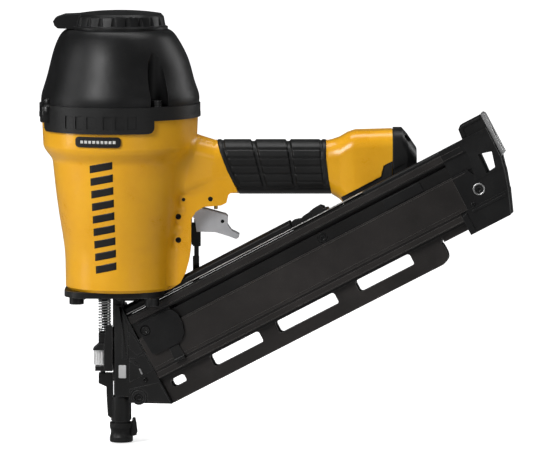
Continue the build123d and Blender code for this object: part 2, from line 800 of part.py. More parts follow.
def trigger():
    with BuildPart() as part:
        slab(near, TRIGGER_HALF, TRIGGER)
        # hollow, open on top and at the front
        slab(near, 5.2, TRIGGER_HOLLOW, mode=CUT)
        cross_hole(near, 10, 1.5, TRIGGER_PIVOT + LEVER_PIVOT)
    return part


def trigger_pin():
    with BuildPart() as part:
        pad(near(-PIN_HALF), 2 * PIN_HALF, Circle, 1.45, at=TRIGGER_PIVOT)
    return part


def trip_lever():
    half = 4.6
    with BuildPart() as part:
        slab(near, half, [(59.9, 186.1), (60.2, 188.6), (84, 184.9), (84, 182.2)])
        pad(near(-half), 2 * half, Circle, 2.7, at=LEVER_PIVOT)
        cross_hole(near, 10, 1.5, LEVER_PIVOT)
    return part


def lever_pin():
    with BuildPart() as part:
        pad(near(-TRIGGER_HALF), 2 * TRIGGER_HALF, Circle, 1.45, at=LEVER_PIVOT)
    return part


def valve_body():
    with BuildPart() as part:
        pad(height(200), 19.5, Circle, 7.9, at=VALVE_AT)
        # stem bore, wider chamber above it, and retaining pin hole
        pad(height(199), 30, Circle, 1.66, at=VALVE_AT, mode=CUT)
        pad(height(208), 10, Circle, 4.6, at=VALVE_AT, mode=CUT)
        cross_hole(near, 20, 2.0, VALVE_PIN)
    return part


def valve_stem():
    with BuildPart() as part:
        pad(height(193), 25, Circle, 1.6, at=VALVE_AT)
        pad(height(208.3), 2.4, Circle, 4.4, at=VALVE_AT)
    return part


def valve_pin():
    with BuildPart() as part:
        pad(near(-PIN_HALF), 2 * PIN_HALF, Circle, 1.95, at=VALVE_PIN)
    return part


# ================================================================ magazine
MAG_FRONT = 8.7
FLANGE_REAR, RAIL_REAR, CHANNEL_REAR = 265.0, 293.0, 300.0
REAR_CAP_FRONT = 300.1
# Channel section from the top down: half width, bottom, top, rear end
CHANNEL_BANDS = [
    (10.4, -6.9, -0.8, CHANNEL_REAR), (9.2, -21.0, -6.7, CHANNEL_REAR),
    (12.2, -49.6, -20.8, CHANNEL_REAR), (11.0, -52.0, -49.4, RAIL_REAR),
    (13.0, -56.8, -51.8, RAIL_REAR), (8.0, -59.0, -56.6, RAIL_REAR),
    (6.2, -64.5, -58.8, RAIL_REAR), (6.2, -80.4, -64.3, FLANGE_REAR),
]
# Windows in the lower flange: front, rear, centre across, height
FLANGE_WINDOWS = [
    (53, 99.5, -64.6, 10.2), (114.5, 170, -64.6, 10.2), (189, 240, -64.6, 10.2),
    (14.3, 27.3, -66, 7),
]


def mag_channel():
    with BuildPart() as part:
        for half, bottom, top, rear in CHANNEL_BANDS:
            plate(across(MAG_FRONT), rear - MAG_FRONT, rect(-half, half, bottom, top))
        cut_nail_track(MAG_FRONT - 1, 320)
        for front, rear, centre, window_h in FLANGE_WINDOWS:
            middle = [((front + rear) / 2, centre)]
            pad(side(-10), 20, RectangleRounded, rear - front, window_h, 2.5, at=middle, mode=CUT)
        # swept rear end of the flange
        slab(side, 10, [(262, -72), (270, -60), (270, -90), (254, -90), (257, -81)], mode=CUT)
        # slot for the pusher, near side only
        pad(side(2.0), 20, RectangleRounded, 300, 2.8, 1.0, at=[(163, -9.6)], mode=CUT)
        # screw seat and hole
        pad(side(6.0), 5, Circle, 4.3, at=MAG_SCREW, mode=CUT)
        pad(side(4.2), 5, Circle, 1.7, at=MAG_SCREW, mode=CUT)
        # tapped holes on the far side for the bracket; the cut runs outwards from the wall
        pad(side(-9.2), -5, Circle, 1.7, at=BRACKET_TO_MAG, mode=CUT)
    return part


def mag_screw():
    with BuildPart() as part:
        screws(
            side, MAG_SCREW, (6.0 + GAP, 4.1, 2.6), (7.4, 1.9, 3), (4.2 + GAP, 1.65, 2)
        )
    return part


def mag_track_strip():
    with BuildPart() as part:
        pad(across(MAG_FRONT), 221, Rectangle, 19.6, 1.8, at=[(0, 1.6)])
    return part


def mag_top_cover():
    with BuildPart() as part:
        plate(across(MAG_FRONT - 0.1), 155.5, [
            (-7.6, 2.6), (-7.6, 6.4), (-5.0, 9.0), (5.0, 9.0), (7.6, 6.4), (7.6, 2.6),
        ])
    return part


def mag_rear_cover():
    with BuildPart() as part:
        plate(across(229.8), 70.1, [
            (-9.8, -0.75), (-9.8, 1.6), (-8.8, 2.6), (8.8, 2.6), (9.8, 1.6), (9.8, -0.75),
        ])
    return part


# Outlines of the latch and of its mount's ears, (along, across)
LATCH = [
    (166.2, 2.8), (171, 5.4), (181.5, 6.1), (183.5, 8.2), (190.5, 8.6), (193, 6.4),
    (193, 4.1), (190.4, 2.8),
]
LATCH_EAR = [
    (184.5, 2.55), (184.5, 7.2), (186.5, 8.8), (192, 8.8), (194.4, 6.6), (194.4, 2.55),
]


def mag_latch():
    with BuildPart() as part:
        slab(side, 5.5, LATCH)
        cross_hole(side, 10, 1.3, LATCH_PIVOT)
    return part


def latch_mount():
    half, ear = 7.5, 1.9
    with BuildPart() as part:
        plate(side(half - ear), ear, LATCH_EAR)
        plate(side(-half), ear, LATCH_EAR)
        # pivot pin, and the bridge behind the ears
        pad(side(-half), 2 * half, Circle, 1.25, at=LATCH_PIVOT)
        slab(side, half, [(193.9, 2.55), (193.9, 5.2), (197, 4.2), (197, 2.55)])
    return part


def mag_patch():
    with BuildPart() as part:
        pad(side(9.2 + GAP), 0.9, RectangleRounded, 34, 8.6, 1.2, at=[(258, -15.7)])
    return part


# Rear cap from the channel's end rearwards: half width, outline (along, across)
REAR_CAP = [
    (10.4, rect(REAR_CAP_FRONT, 326, -6.9, 2.6)),       # rail
    (9.2, rect(REAR_CAP_FRONT, 328, -21.0, -6.7)),      # recess
    (12.2, [                                            # side panel
        (REAR_CAP_FRONT, -51.0), (336, -51.0), (340.8, -36), (341.8, -31.2), (322, -31.2),
        (318.5, -28.6), (314.5, -20.8), (REAR_CAP_FRONT, -20.8),
    ]),
    (13.4, [                                            # shoe
        (293.1, -69), (329, -69), (336.7, -49.7), (300.6, -49.7), (293.1, -52),
    ]),
    (12.8, [                                            # rear frame
        (316.5, -31.4), (341.6, -31.4), (343.6, -23.5), (343.9, 2.6), (320, 2.6), (321.4, -12),
    ]),
    (9, [(322, 2), (323, 11.5), (326, 14), (343.9, 14), (343.9, 2)]),   # top block
]
REAR_WINDOW = [(328.3, -13.5), (339.3, -16.5), (335.8, -29.3), (327.4, -30.4)]


def mag_rear_cap():
    with BuildPart() as part:
        for half, outline in REAR_CAP:
            slab(side, half, outline)
        # rear way in for the nails
        cut_nail_track(290, 70)
        slab(side, 20, REAR_WINDOW, mode=CUT)
        # screw seat and holes
        pad(side(9.2), 10, Circle, 3.7, at=[REAR_SCREW], mode=CUT)
        pad(side(4), 20, Circle, 1.6, at=[REAR_SCREW, REAR_STUD], mode=CUT)
    return part


def mag_rear_screws():
    with BuildPart() as part:
        screws(side, [REAR_SCREW], (9.2 + GAP, 3.5, 3.4), (11, 1.8, 4), (4.2, 1.5, 5.2))
        pad(side(4.2), 9.2, Circle, 1.5, at=[REAR_STUD])
    return part


def mag_end_plate():
    with BuildPart() as part:
        slab(side, 7.5, [(344, -23.5), (344, 15), (346, 15), (347.4, 13), (347.4, -22)])
        cut_nail_track(340, 20)
    return part


# Bracket between the magazine and the air chamber, (along, across)
BRACKET = [
    (196, -42), (196, -26), (208.5, -5), (208.5, 5.9), (246.15, 5.9), (252.15, 12.7),
    (256.8, 12.7), (249.0, -5), (249.0, -42),
]


def mag_bracket():
    with BuildPart() as part:
        plate(side(-14.5), 2.2, BRACKET)
        pad(side(-16), 6, Circle, 1.8, at=BRACKET_TO_MAG + BRACKET_TO_BODY, mode=CUT)
    return part


def bracket_screws():
    with BuildPart() as part:
        screws(side, BRACKET_TO_MAG, (-14.5 - GAP, 3.4, -2.0), None, (-14.6, 1.6, 5.3))
        pad(side(-20.4), 8.1, Circle, 1.5, at=BRACKET_TO_BODY)
    return part


def badge():
    """Curved badge on the near side of the housing's flange."""
    badge_at = [(-15.4, 253.1)]
    with BuildPart() as part:
        ring(height(248.6), 9, 64.9, 64.0)
        pad(near(30), 60, RectangleRounded, 37, 8.6, 3, at=badge_at, mode=Mode.INTERSECT)
    return part


# ================================================================ pusher
# Near-side plate and follower, (along, across)
PUSHER_PLATE = [
    (12, -12), (13.6, -10), (41.5, -9.8), (46, -12), (48.3, -17), (48.2, -25), (45.6, -32.6),
    (41.5, -36.6), (36.8, -38.3), (16, -37.4), (13.6, -35.5), (13.0, -24),
]
FOLLOWER = [(13.5, -6.8), (44, -6.8), (66, -48), (66, -56), (39.5, -56)]


def pusher():
    with BuildPart() as part:
        plate(side(12.5), 2.6, PUSHER_PLATE)
        # web through the channel's slot, between two blocks behind the plate
        plate(side(10.4), 2.2, rect(14, 44, -20, -12))
        plate(side(1.5), 9.2, rect(14, 44, -10.8, -8.4))
        plate(side(10.4), 2.2, rect(14, 44, -14, -8.4))
        slab(side, 2.1, FOLLOWER)
        # room for the coil, then screw seat and hole
        cross_hole(side, 3, 7.2, COIL_AT)
        pad(side(13.4), 4, Circle, 4.5, at=PUSHER_SCREW, mode=CUT)
        pad(side(11), 4, Circle, 1.6, at=PUSHER_SCREW, mode=CUT)
    return part


def pusher_screw():
    with BuildPart() as part:
        screws(
            side, PUSHER_SCREW, (13.4 + GAP, 3.3, 1.9), (14.6, 1.5, 3), (11 + GAP, 1.5, 2.6)
        )
    return part


def pusher_tab():
    with BuildPart() as part:
        plate(side(12.6), 1.2, [
            (28, -38.5), (36.8, -38.5), (37.2, -48.6), (37.2, -51.4), (27.6, -51.4), (27.6, -48.6),
        ])
        # lip turned out along the lower edge
        plate(side(12.6), 4.2, rect(27.6, 37.2, -51.4, -48.9))
    return part


def pusher_coil():
    with BuildPart() as part:
        ring(side(-2), 4, 7.0, 3.6, at=COIL_AT)
    return part


# ================================================================ build and export
PIECES = [
    main_housing, grip_sleeve,
    end_cap_gasket, handle_end_cap, end_cap_screws, inlet_bushing, inlet_filter,
    cap_gasket, top_cap, top_collar, cap_screws, exhaust_deflector, deflector_screw,
    cylinder_sleeve, cylinder_seals, piston_bumper, head_valve, head_valve_spring,
    piston, piston_ring, driver_blade,
    nose_body, nose_cover, nose_insert, nose_screws, nose_bolts, spring_guide_rod, contact_spring,
    trip_arm, depth_wheel, contact_foot, no_mar_tip, trip_guide, guide_pins,
    trigger, trigger_pin, trip_lever, lever_pin, valve_body, valve_stem, valve_pin,
    mag_channel, mag_screw, mag_track_strip, mag_top_cover, mag_rear_cover, mag_latch,
    latch_mount, mag_patch, mag_rear_cap, mag_rear_screws, mag_end_plate, mag_bracket,
    bracket_screws, badge,
    pusher, pusher_screw, pusher_tab, pusher_coil,
]

for build in PIECES:
    name = build.__name__
    builder = build()
    builder.part.label = name
    export_step(builder.part, f"parts/{name}.step")
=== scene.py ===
# A pneumatic nailer standing nose down. Z is up along the barrel, whose axis is X = Y = 0.
# The handle and the raked magazine run back towards +X. The near side, which the camera
# faces, is -Y. Dimensions are in millimetres unless a comment says otherwise; MM turns
# them into Blender metres.
import bpy
import json
import math
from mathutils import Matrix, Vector
from mathutils.bvhtree import BVHTree


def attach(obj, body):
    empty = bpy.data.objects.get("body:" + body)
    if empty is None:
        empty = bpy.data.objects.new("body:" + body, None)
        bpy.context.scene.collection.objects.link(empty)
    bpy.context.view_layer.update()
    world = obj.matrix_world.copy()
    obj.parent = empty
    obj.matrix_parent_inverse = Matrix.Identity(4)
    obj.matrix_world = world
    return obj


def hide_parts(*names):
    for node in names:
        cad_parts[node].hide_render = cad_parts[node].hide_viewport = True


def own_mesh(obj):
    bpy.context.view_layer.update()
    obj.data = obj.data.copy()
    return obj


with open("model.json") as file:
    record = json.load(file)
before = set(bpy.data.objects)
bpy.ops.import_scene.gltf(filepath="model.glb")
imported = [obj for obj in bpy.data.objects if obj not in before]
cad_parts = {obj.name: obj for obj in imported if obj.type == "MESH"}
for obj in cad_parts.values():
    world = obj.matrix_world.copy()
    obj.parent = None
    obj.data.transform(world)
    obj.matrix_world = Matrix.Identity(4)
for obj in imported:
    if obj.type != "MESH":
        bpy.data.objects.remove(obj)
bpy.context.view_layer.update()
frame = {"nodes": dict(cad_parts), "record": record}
PARTS = frame["nodes"]
MM = 0.001


# ------------------------------------------------------------------ magazine directions
CANT = math.radians(9.0)    # turn of the magazine towards the near side
RAKE = math.radians(28.0)   # rise of the magazine towards the rear
MAG_ORIGIN_Z = 101.0
SIN_CANT, COS_CANT = math.sin(CANT), math.cos(CANT)
SIN_RAKE, COS_RAKE = math.sin(RAKE), math.cos(RAKE)
ALONG = Vector((COS_CANT * COS_RAKE, -SIN_CANT * COS_RAKE, SIN_RAKE))
ACROSS = Vector((-COS_CANT * SIN_RAKE, SIN_CANT * SIN_RAKE, COS_RAKE))
NEAR = Vector((-SIN_CANT, -COS_CANT, 0))


def mag_point(along, across, near):
    """Point in the magazine's own directions, in metres."""
    return (Vector((0, 0, MAG_ORIGIN_Z)) + ALONG * along + ACROSS * across + NEAR * near) * MM


def upright_point(back, z, near):
    """Point in the upright plane through the magazine, in metres."""
    return (Vector((COS_CANT * back, -SIN_CANT * back, z)) + NEAR * near) * MM


# ------------------------------------------------------------------ shader helpers
def rgba(colour):
    """Opaque colour from a grey level or an RGB triple."""
    if isinstance(colour, (int, float)):
        colour = (colour,) * 3
    return (*colour, 1)


def set_inputs(tree, target, inputs):
    """Link each input that is given a socket and set the others to their values."""
    for key, value in inputs.items():
        if isinstance(value, bpy.types.NodeSocket):
            tree.links.new(value, target.inputs[key])
        else:
            target.inputs[key].default_value = value


def node(tree, kind, inputs=None, **properties):
    made = tree.nodes.new("ShaderNode" + kind)
    for key, value in properties.items():
        setattr(made, key, value)
    set_inputs(tree, made, inputs or {})
    return made


def noise(tree, coords, scale, detail, roughness=0.5):
    inputs = {"Vector": coords, "Scale": scale, "Detail": detail, "Roughness": roughness}
    return node(tree, "TexNoise", inputs).outputs["Fac"]


def calc(tree, operation, *values):
    return node(tree, "Math", dict(enumerate(values)), operation=operation).outputs[0]


def dot(tree, first, second):
    made = node(tree, "VectorMath", {0: first, 1: second}, operation="DOT_PRODUCT")
    return made.outputs["Value"]


def mix(tree, factor, first, second, blend="MIX"):
    inputs = {"Factor": factor, 6: first, 7: second}
    return node(tree, "Mix", inputs, data_type="RGBA", blend_type=blend).outputs[2]


def ramp(tree, source, stops):
    """Colour ramp through (position, grey or RGB) stops."""
    made = node(tree, "ValToRGB", {0: source})
    elements = made.color_ramp.elements
    while len(elements) < len(stops):
        elements.new(0.5)
    for element, (position, colour) in zip(elements, stops):
        element.position = position
        element.color = rgba(colour)
    return made.outputs[0]


def new_material(name):
    material = bpy.data.materials.new(name)
    material.use_nodes = True
    tree = material.node_tree
    tree.nodes.clear()
    output = node(tree, "OutputMaterial")
    shader = node(tree, "BsdfPrincipled")
    tree.links.new(shader.outputs[0], output.inputs[0])
    return material, tree, shader


# ------------------------------------------------------------------ finishes
def worn_and_highlit_edges(tree, coords, colour, wear_and_highlight, wear_and_highlight_colour, wear_and_highlight_radius):
    """Blend in a lighter edge colour where a bevelled normal leaves the true one: partly wear,
    partly a painted highlight that outlines the edges.
    """
    bevel = node(tree, "Bevel", {"Radius": wear_and_highlight_radius}, samples=4)
    geometry = node(tree, "NewGeometry")
    flatness = dot(tree, bevel.outputs[0], geometry.outputs["Normal"])
    breakup = noise(tree, coords, scale=260.0, detail=4.0, roughness=0.75)
    broken = calc(tree, "MULTIPLY_ADD", breakup, 0.16, flatness)
    mask = ramp(tree, broken, [(0.93, 1), (1.01, 0)])
    return mix(tree, calc(tree, "MULTIPLY", mask, wear_and_highlight), colour, rgba(wear_and_highlight_colour))


def paint_light_bands(tree, coords, colour, direction, stops):
    """Multiply the colour by (mm, factor) stops along a direction, to paint light and shade in
    bands.
    """
    first, last = stops[0][0], stops[-1][0]
    distance = dot(tree, coords, tuple(direction))
    limits = {"Value": distance, "From Min": first * MM, "From Max": last * MM}
    position = node(tree, "MapRange", limits).outputs[0]
    factors = ramp(tree, position, [((at - first) / (last - first), f) for at, f in stops])
    return mix(tree, 1.0, colour, factors, blend="MULTIPLY")


def dust_specks(tree, coords, colour, dust):
    specks = ramp(tree, noise(tree, coords, scale=1700.0, detail=1.0), [(0.66, 0), (0.74, 1)])
    return mix(tree, calc(tree, "MULTIPLY", specks, dust), colour, rgba((0.4, 0.38, 0.35)))


def surface(name, base, dark, light, rough, metallic=0.0, spec=0.5, grain=900,
            grain_height=0.00004, grain_strength=0.35, orange_peel=0.0, wear_and_highlight=0.0,
            wear_and_highlight_colour=0.5, wear_and_highlight_radius=0.0009, coat=0.0, dust=0.0, bands=None):
    """Finish with broad drift, fine grain in colour, roughness and relief, and lighter edges,
    partly wear and partly painted highlight.

    Grain is a noise scale; grain height and the radius of the worn and highlit edges are in
    metres.
    """
    material, tree, shader = new_material(name)
    coords = node(tree, "TexCoord").outputs["Object"]
    drift = noise(tree, coords, scale=26, detail=5.0, roughness=0.6)
    fine = noise(tree, coords, scale=grain, detail=3.0, roughness=0.7)
    colour = ramp(tree, drift, [(0.3, dark), (0.52, base), (0.75, light)])
    speckle = ramp(tree, fine, [(0.25, 0.3), (0.75, 0.7)])
    colour = mix(tree, 0.16, colour, speckle, blend="OVERLAY")

    # Roughness drifts with the broad noise; the grain then swings it by 0.06 either way.
    swing = 0.06
    broad_rough = ramp(tree, drift, [(0.25, max(rough - 0.06, 0.04)), (0.8, min(rough + 0.09, 1))])
    lowered = calc(tree, "SUBTRACT", broad_rough, swing)
    roughness = calc(tree, "MULTIPLY_ADD", fine, 2 * swing, lowered)

    # Lighter edges: partly wear, partly painted highlight
    if wear_and_highlight > 0:
        colour = worn_and_highlit_edges(tree, coords, colour, wear_and_highlight, wear_and_highlight_colour, wear_and_highlight_radius)
    # Painted light and shade in bands, where a finish is given them
    if bands:
        colour = paint_light_bands(tree, coords, colour, *bands)
    if dust > 0:
        colour = dust_specks(tree, coords, colour, dust)

    relief = {"Strength": grain_strength, "Distance": grain_height, "Height": fine}
    bump = node(tree, "Bump", relief)
    if orange_peel > 0:
        ripple = noise(tree, coords, scale=240.0, detail=1.5, roughness=0.4)
        bump = node(tree, "Bump", {"Strength": orange_peel, "Distance": 0.00012,
                                   "Height": ripple, "Normal": bump.outputs[0]})
    set_inputs(tree, shader, {
        "Base Color": colour, "Roughness": roughness, "Metallic": metallic,
        "Specular IOR Level": spec, "Coat Weight": coat, "Coat Roughness": 0.12,
        "Normal": bump.outputs[0]})
    return material


# (mm towards the near side, factor) over the magazine's stepped flank: painted shade darkens the
# recessed steps and painted light lifts the outer faces
FLANK_PAINTED_SHADE = [(5.0, 1.7), (6.4, 1.7), (7.0, 0.5), (9.5, 0.28), (10.2, 1.7), (11.2, 1.2),
               (11.9, 0.6), (12.15, 1.75), (14.0, 1.6)]
# (mm across the magazine, factor): dark below, with the bright band above as a painted highlight
STRIP_PAINTED_HIGHLIGHT = [(89.0, 0.02), (90.85, 0.03), (91.15, 1.0), (93.0, 1.0)]

# Each finish: name, then base, dark and light colours
FINISH = {
    "yellow": surface(
        "finish_yellow_coat", (0.90, 0.435, 0.0085), (0.84, 0.385, 0.007), (0.94, 0.475, 0.011),
        rough=0.30, spec=0.45, grain=1300, grain_height=0.00003, orange_peel=0.14, wear_and_highlight=0.22,
        wear_and_highlight_colour=(0.90, 0.55, 0.08), wear_and_highlight_radius=0.0007, coat=0.18),
    "black_plastic": surface(
        "finish_black_nylon", (0.0055, 0.0055, 0.0058), 0.004, 0.009, rough=0.40, spec=0.27,
        grain=1500, grain_height=0.00008, grain_strength=0.4, wear_and_highlight=0.3, wear_and_highlight_colour=0.05,
        dust=0.03),
    # The black magazine carries painted shade and light in bands across its stepped flank
    "mag_black": surface(
        "finish_black_anodised", (0.0115, 0.0098, 0.0092), (0.008, 0.007, 0.0065),
        (0.017, 0.0145, 0.0135), rough=0.36, spec=0.36, grain=1100, wear_and_highlight=0.6,
        wear_and_highlight_colour=(0.10, 0.095, 0.09), wear_and_highlight_radius=0.0006, dust=0.04,
        bands=(NEAR, FLANK_PAINTED_SHADE)),
    "black_metal": surface(
        "finish_black_oxide", 0.0075, 0.005, (0.013, 0.0125, 0.012), rough=0.36, metallic=0.1,
        spec=0.38, grain_height=0.00006, wear_and_highlight=0.7, wear_and_highlight_colour=0.14, wear_and_highlight_radius=0.0007,
        dust=0.04),
    "rubber": surface(
        "finish_rubber", 0.0055, 0.004, 0.009, rough=0.44, spec=0.36, grain=1500,
        grain_height=0.00009, grain_strength=0.45, dust=0.05),
    "bumper": surface("finish_seal_rubber", 0.02, 0.014, 0.03, rough=0.7, grain=1200),
    "steel": surface(
        "finish_oiled_steel", (0.20, 0.20, 0.205), (0.13, 0.13, 0.135), 0.30, rough=0.32,
        metallic=1.0, grain=1400, wear_and_highlight=0.4, wear_and_highlight_colour=0.6),
    "chromed": surface(
        "finish_zinc_plate", 0.66, 0.54, (0.76, 0.76, 0.75), rough=0.28, metallic=1.0,
        grain=1500, grain_height=0.00003),
    "trigger_alloy": surface(
        "finish_cast_alloy", (0.70, 0.70, 0.72), (0.58, 0.58, 0.60), (0.80, 0.80, 0.82),
        rough=0.38, metallic=0.65, grain=1100, grain_height=0.00006, wear_and_highlight=0.4,
        wear_and_highlight_colour=0.85),
    "brass": surface(
        "finish_brass", (0.55, 0.36, 0.12), (0.42, 0.27, 0.09), (0.68, 0.46, 0.17),
        rough=0.3, metallic=1.0, grain=1200),
    "dark_screw": surface(
        "finish_dark_screw", 0.02, 0.012, 0.04, rough=0.30, metallic=0.8, grain=1200,
        wear_and_highlight=0.6, wear_and_highlight_colour=0.25),
    "pin_black": surface(
        "finish_pin_black", 0.004, 0.003, 0.008, rough=0.5, spec=0.25, grain=1200),
    "bright_screw": surface(
        "finish_bright_screw", 0.45, 0.34, (0.56, 0.56, 0.55), rough=0.3, metallic=1.0,
        grain=1300, wear_and_highlight=0.4, wear_and_highlight_colour=0.8),
    # Near-white metal; on the nose insert its whiteness is partly a painted glint
    "bright_metal_and_glint": surface(
        "finish_bright_metal_and_glint", 0.78, 0.66, (0.88, 0.88, 0.87), rough=0.34, metallic=0.55,
        grain=1300),
    # Track strip: dark, with a painted highlight band along its top edge
    "track_highlight": surface(
        "track_strip_painted_highlight", (0.42, 0.41, 0.40), (0.30, 0.29, 0.28), (0.55, 0.54, 0.52),
        rough=0.34, metallic=1.0, spec=0.4, grain=1300, bands=(ACROSS, STRIP_PAINTED_HIGHLIGHT)),
    "print_black": surface(
        "finish_print_black", (0.006, 0.0055, 0.0055), 0.004, (0.010, 0.009, 0.009),
        rough=0.38, spec=0.4, grain=1500),
    "print_white": surface(
        "finish_print_white", (0.70, 0.70, 0.68), (0.62, 0.62, 0.60), (0.76, 0.76, 0.74),
        rough=0.45, grain=1500),
}

# ------------------------------------------------------------------ dressing the CAD parts
# Parts whose finish differs from their recorded slot
FINISH_PARTS = {
    "dark_screw": ("cap_screws", "nose_bolts", "nose_screws", "mag_screw", "pusher_screw",
                   "end_cap_screws", "spring_guide_rod", "mag_rear_screws"),
    "pin_black": ("valve_pin", "lever_pin", "guide_pins", "trigger_pin"),
    "print_black": ("badge",),
    # The track strip's bright top band is a painted highlight
    "track_highlight": ("mag_track_strip",),
    # The nose insert's near-white colour is partly a painted glint
    "bright_metal_and_glint": ("nose_insert", "depth_wheel"),
}
part_finish = {s["node"]: s["material_slot"] for s in frame["record"]["subparts"]}
part_finish.update({part: key for key, parts in FINISH_PARTS.items() for part in parts})

# Width of the rounded edges of each part
DEFAULT_EDGE = 0.25
EDGES = {
    "main_housing": 1.1, "top_cap": 0.9, "top_collar": 0.45, "exhaust_deflector": 0.7,
    "handle_end_cap": 1.3, "nose_body": 0.5, "nose_cover": 0.7, "trip_arm": 0.45,
    "contact_foot": 0.4, "no_mar_tip": 0.5, "trigger": 0.8, "mag_channel": 0.45,
    "mag_top_cover": 0.5, "mag_rear_cap": 0.9, "mag_rear_cover": 0.3, "mag_latch": 0.8,
    "latch_mount": 0.4, "mag_patch": 0.35, "mag_end_plate": 0.4, "mag_bracket": 0.35,
    "pusher": 0.75, "pusher_tab": 0.3, "trip_guide": 0.5, "depth_wheel": 0.3,
    "badge": 0.3, "cap_screws": 0.35, "nose_bolts": 0.6, "nose_screws": 0.3,
    "mag_rear_screws": 0.3, "mag_screw": 0.3, "inlet_bushing": 0.4, "mag_track_strip": 0.2,
    "deflector_screw": 0.3, "end_cap_screws": 0.3, "piston": 0.3, "trip_lever": 0.3,
    "head_valve": 0.4,
}
NOT_FLATTENED = ("main_housing", "contact_spring", "head_valve_spring")


def round_edges(part, edge, flatten=True):
    """Rounded edges and clean shading, as modifiers, so the mesh itself is untouched."""
    attributes = part.data.attributes
    for name in ("custom_normal", "sharp_edge", "sharp_face"):
        if name in attributes:
            attributes.remove(attributes[name])
    weld = part.modifiers.new("join", "WELD")
    weld.merge_threshold = 0.000004
    if flatten:
        dissolve = part.modifiers.new("flat", "DECIMATE")
        dissolve.decimate_type = "DISSOLVE"
        dissolve.angle_limit = math.radians(0.35)
    bevel = part.modifiers.new("round", "BEVEL")
    bevel.width = edge * MM
    bevel.segments = 3
    bevel.limit_method = "ANGLE"
    bevel.angle_limit = math.radians(32)
    bevel.use_clamp_overlap = True
    bevel.harden_normals = False
    bevel.miter_outer = "MITER_ARC"
    normals = part.modifiers.new("normals", "WEIGHTED_NORMAL")
    normals.mode = "FACE_AREA"
    normals.weight = 60
    normals.keep_sharp = False


for name, part in PARTS.items():
    part.data.materials.clear()
    part.data.materials.append(FINISH[part_finish[name]])
    for polygon in part.data.polygons:
        polygon.use_smooth = True
    round_edges(part, EDGES.get(name, DEFAULT_EDGE), flatten=name not in NOT_FLATTENED)


# ------------------------------------------------------------------ shared builders
def make(name, verts, faces, finish, body="housing", smooth=True, replaces=None,
         edge=0.0):
    """Object from vertices in metres, riding on a body, with the finish as its material."""
    mesh = bpy.data.meshes.new(name)
    mesh.from_pydata([tuple(v) for v in verts], [], faces)
    mesh.validate()
    mesh.update()
    piece = bpy.data.objects.new(name, mesh)
    bpy.context.scene.collection.objects.link(piece)
    mesh.materials.append(FINISH[finish])
    for polygon in mesh.polygons:
        polygon.use_smooth = smooth
    if edge > 0:
        round_edges(piece, edge)
    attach(piece, body)
    if replaces:
        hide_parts(replaces)
    return piece


def soften(outline, radius, steps=5):
    """Outline with every corner rounded to the radius at most."""
    points = []
    for i in range(len(outline)):
        corner = Vector(outline[i])
        to_last = Vector(outline[i - 1]) - corner
        to_next = Vector(outline[(i + 1) % len(outline)]) - corner
        reach = min(radius, to_last.length * 0.45, to_next.length * 0.45)
        start = corner + to_last.normalized() * reach
        end = corner + to_next.normalized() * reach
        for step in range(steps + 1):
            f = step / steps
            point = start * (1 - f) ** 2 + corner * 2 * f * (1 - f) + end * f ** 2
            points.append((point.x, point.y))
    return points


def plate(name, outline, span, place, finish, body="housing", corner=0.0, edge=0.3):
    """Outline extruded over a span along NEAR, its corners and edges rounded."""
    if corner:
        outline = soften(outline, corner)
    n = len(outline)
    pairs = zip(outline, outline[1:] + outline[:1])
    if sum(a[0] * b[1] - b[0] * a[1] for a, b in pairs) < 0:
        outline = outline[::-1]
    low, high = span
    verts = [place(a, b, near) for near in (high, low) for a, b in outline]
    faces = [tuple(range(n)), tuple(range(2 * n - 1, n - 1, -1))]
    for i in range(n):
        j = (i + 1) % n
        faces.append((j, i, i + n, j + n))
    make(name, verts, faces, finish, body, edge=edge)


def lathe(name, profile, origin, axis, finish="dark_screw", ring=False, sides=48):
    """(Radius, height) profile turned about an axis through an origin in metres.

    A ring closes the profile on itself; otherwise both ends are capped.
    """
    axis = Vector(axis).normalized()
    side_a = axis.orthogonal().normalized()
    side_b = axis.cross(side_a)
    verts, faces = [], []
    for r, h in profile:
        for k in range(sides):
            t = 2 * math.pi * k / sides
            offset = axis * h + side_a * (r * math.cos(t)) + side_b * (r * math.sin(t))
            verts.append(Vector(origin) + offset * MM)
    last = (len(profile) - 1) * sides
    for start in range(0, last, sides):
        for k in range(sides):
            a, b = start + k, start + (k + 1) % sides
            faces.append((a, b, b + sides, a + sides))
    if ring:
        for k in range(sides):
            after = (k + 1) % sides
            faces.append((last + k, last + after, after, k))
    else:
        faces.append(tuple(range(sides - 1, -1, -1)))
        faces.append(tuple(range(last, last + sides)))
    make(name, verts, faces, finish)


def smoothstep(t):
    t = min(max(t, 0.0), 1.0)
    return t * t * (3 - 2 * t)


# ------------------------------------------------------------------ rubber grip on the handle
GRIP_Z, GRIP_WIDTH, GRIP_HEIGHT, GRIP_RADIUS = 228.2, 37.0, 43.5, 15.0
# (Z, X) of the grip's front and rear edges
GRIP_FRONT = [(202, 99.0), (208.2, 97.0), (226, 88.0), (241, 82.2), (254, 79.0)]
GRIP_REAR = [(202, 174.5), (207, 173.5), (219, 171.0), (236, 169.0), (254, 169.0)]
GRIP_PROUD = 0.45       # height of the rubber over the section
GRIP_TUCK = 2.2         # depth the ends turn in
GRIP_SIDES, GRIP_STEPS = 184, 250
LOWEST_RIB_Z, RIB_PITCH, RIB_COUNT = 216.8, 6.7, 5
RIM_INSET = 4.2
# (X at Z = SLANT_TOP, run in X per mm down) of the two slanted grooves
SLANT_TOP = 252.0
SLANTS = [(108.8, 0.256), (137.6, 0.160)]


def table_at(table, x):
    """Value at x, joined by straight lines and held flat past the ends."""
    if x <= table[0][0]:
        return table[0][1]
    for (x0, y0), (x1, y1) in zip(table, table[1:]):
        if x <= x1:
            return y0 + (y1 - y0) * (x - x0) / (x1 - x0)
    return table[-1][1]


